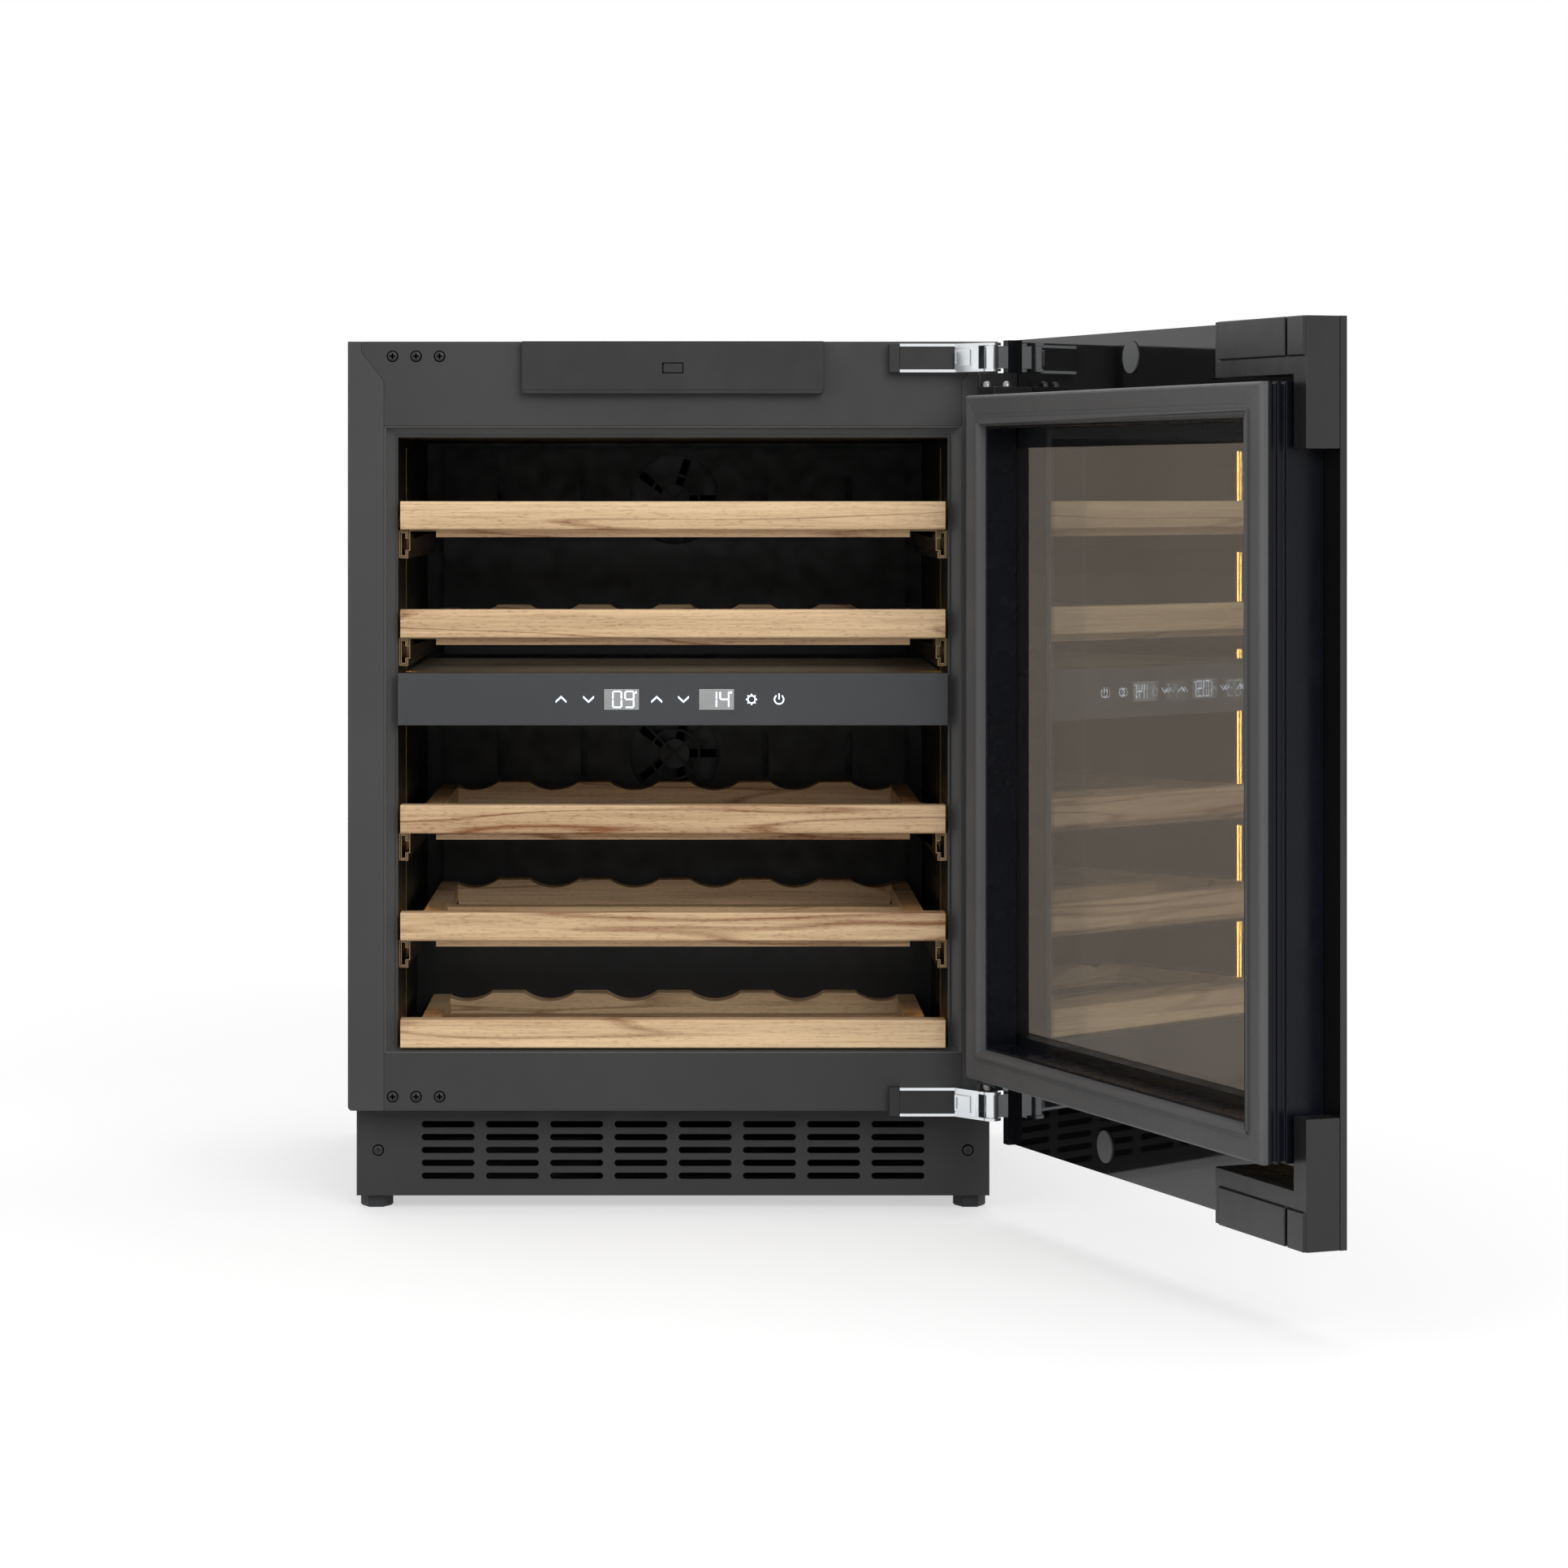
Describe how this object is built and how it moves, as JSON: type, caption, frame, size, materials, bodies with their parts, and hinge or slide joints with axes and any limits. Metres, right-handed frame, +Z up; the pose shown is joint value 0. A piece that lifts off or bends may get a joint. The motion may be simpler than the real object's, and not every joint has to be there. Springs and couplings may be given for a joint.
{
  "type": "built-in wine cooler",
  "caption": "Under-counter wine cooler with temperature zones, pull-out beech shelves, a lit control bar, a vented plinth and a side-hinged glass door, modelled open.",
  "frame": {"origin": "on the floor under the middle of the cabinet", "axes": "+Z up, -Y out of the front, +X to the hinge side"},
  "size_m": [0.8263, 1.0932, 0.8],
  "materials": {
    "frame_paint": "satin",
    "case_paint": "satin",
    "opener_shell": "satin",
    "trim_grey": "satin",
    "lamp_lens": "satin",
    "liner_black": "satin",
    "foam": "matte",
    "zinc_sheet": "satin",
    "foot_black": "matte",
    "screw_steel": "satin",
    "black_glass": "gloss",
    "tinted_glass": "gloss",
    "clear_glass": "gloss",
    "spacer_black": "satin",
    "door_profile": "satin",
    "gasket_rubber": "matte",
    "cap_grey": "satin",
    "bracket_black": "satin",
    "hinge_chrome": "polished",
    "hinge_cover": "satin",
    "beech": "satin",
    "rail_steel": "satin",
    "bar_grey": "satin",
    "display": "gloss",
    "duct_black": "satin",
    "fan_black": "satin",
    "shell_black": "satin",
    "coil_black": "satin"
  },
  "bodies": {
    "cabinet": {"frame_stiles": "frame_paint", "frame_top_rail": "frame_paint", "frame_bottom_rail": "frame_paint", "outer_case": "case_paint", "plinth_grille": "case_paint", "opener_box": "opener_shell", "opening_trim": "trim_grey", "lamp_strips": "lamp_lens", "inner_liner": "liner_black", "foam_insulation": "foam", "zone_divider": "foam", "back_panel": "zinc_sheet", "bay_shield": "zinc_sheet", "chassis_tray": "zinc_sheet", "rear_vent_cover": "zinc_sheet", "cover_screws": "screw_steel", "hinge_arms": "hinge_chrome", "hinge_pins": "hinge_chrome", "hinge_covers": "hinge_cover", "bottom_shelf_strip": "beech", "bottom_shelf_rack": "beech", "fixed_rails": "rail_steel", "control_bar": "bar_grey", "display_windows": "display", "air_duct_upper": "duct_black", "air_duct_lower": "duct_black", "condenser_fan_shroud": "duct_black", "fan_motors": "fan_black", "compressor": "shell_black", "condenser_coil": "coil_black"},
    "door": {"door_panel": "black_glass", "window_glass": "tinted_glass", "glass_spacer": "spacer_black", "inner_glass": "clear_glass", "door_frame": "door_profile", "door_gasket": "gasket_rubber", "hinge_edge_trim": "door_profile", "panel_caps": "cap_grey", "corner_brackets": "bracket_black", "hinge_leaves": "hinge_chrome"},
    "shelf_1": {"shelf_1_strip": "beech", "shelf_1_rack": "beech", "shelf_1_moving_rails": "rail_steel"},
    "shelf_2": {"shelf_2_strip": "beech", "shelf_2_rack": "beech", "shelf_2_moving_rails": "rail_steel"},
    "shelf_3": {"shelf_3_strip": "beech", "shelf_3_rack": "beech", "shelf_3_moving_rails": "rail_steel"},
    "shelf_4": {"shelf_4_strip": "beech", "shelf_4_rack": "beech", "shelf_4_moving_rails": "rail_steel"},
    "opener_plunger": {"opener_plunger": "opener_shell"},
    "fan_rotor_upper": {"fan_rotor_upper": "fan_black"},
    "fan_rotor_lower": {"fan_rotor_lower": "fan_black"},
    "condenser_fan_rotor": {"condenser_fan_rotor": "fan_black"},
    "foot_front_left": {"foot_front_left": "foot_black"},
    "foot_front_right": {"foot_front_right": "foot_black"},
    "foot_rear_left": {"foot_rear_left": "foot_black"},
    "foot_rear_right": {"foot_rear_right": "foot_black"}
  },
  "joints": [
    {"name": "door_hinge", "type": "hinge", "parent": "cabinet", "child": "door", "pos_m": [0.289, -0.2918, 0.445], "axis": [0, 0, 1], "range_deg": [-111.5, 0]},
    {"name": "opener_push", "type": "slide", "parent": "cabinet", "child": "opener_plunger", "axis": [0, -1, 0], "range_m": [0, 0.024], "stiffness_N_per_m": 150},
    {"name": "shelf_1_slide", "type": "slide", "parent": "cabinet", "child": "shelf_1", "axis": [0, -1, 0], "range_m": [0, 0.25]},
    {"name": "shelf_2_slide", "type": "slide", "parent": "cabinet", "child": "shelf_2", "axis": [0, -1, 0], "range_m": [0, 0.25]},
    {"name": "shelf_3_slide", "type": "slide", "parent": "cabinet", "child": "shelf_3", "axis": [0, -1, 0], "range_m": [0, 0.25]},
    {"name": "shelf_4_slide", "type": "slide", "parent": "cabinet", "child": "shelf_4", "axis": [0, -1, 0], "range_m": [0, 0.25]},
    {"name": "fan_rotor_upper_spin", "type": "hinge", "parent": "cabinet", "child": "fan_rotor_upper", "pos_m": [0, 0.1955, 0.655], "axis": [0, 1, 0], "continuous": true},
    {"name": "fan_rotor_lower_spin", "type": "hinge", "parent": "cabinet", "child": "fan_rotor_lower", "pos_m": [0, 0.1955, 0.3955], "axis": [0, 1, 0], "continuous": true},
    {"name": "condenser_fan_rotor_spin", "type": "hinge", "parent": "cabinet", "child": "condenser_fan_rotor", "pos_m": [-0.02, 0.16, 0.072], "axis": [0, 1, 0], "continuous": true},
    {"name": "foot_front_left_turn", "type": "hinge", "parent": "cabinet", "child": "foot_front_left", "pos_m": [-0.275, -0.195, 0.02], "axis": [0, 0, 1], "continuous": true},
    {"name": "foot_front_right_turn", "type": "hinge", "parent": "cabinet", "child": "foot_front_right", "pos_m": [0.275, -0.195, 0.02], "axis": [0, 0, 1], "continuous": true},
    {"name": "foot_rear_left_turn", "type": "hinge", "parent": "cabinet", "child": "foot_rear_left", "pos_m": [-0.275, 0.223, 0.02], "axis": [0, 0, 1], "continuous": true},
    {"name": "foot_rear_right_turn", "type": "hinge", "parent": "cabinet", "child": "foot_rear_right", "pos_m": [0.275, 0.223, 0.02], "axis": [0, 0, 1], "continuous": true}
  ]
}
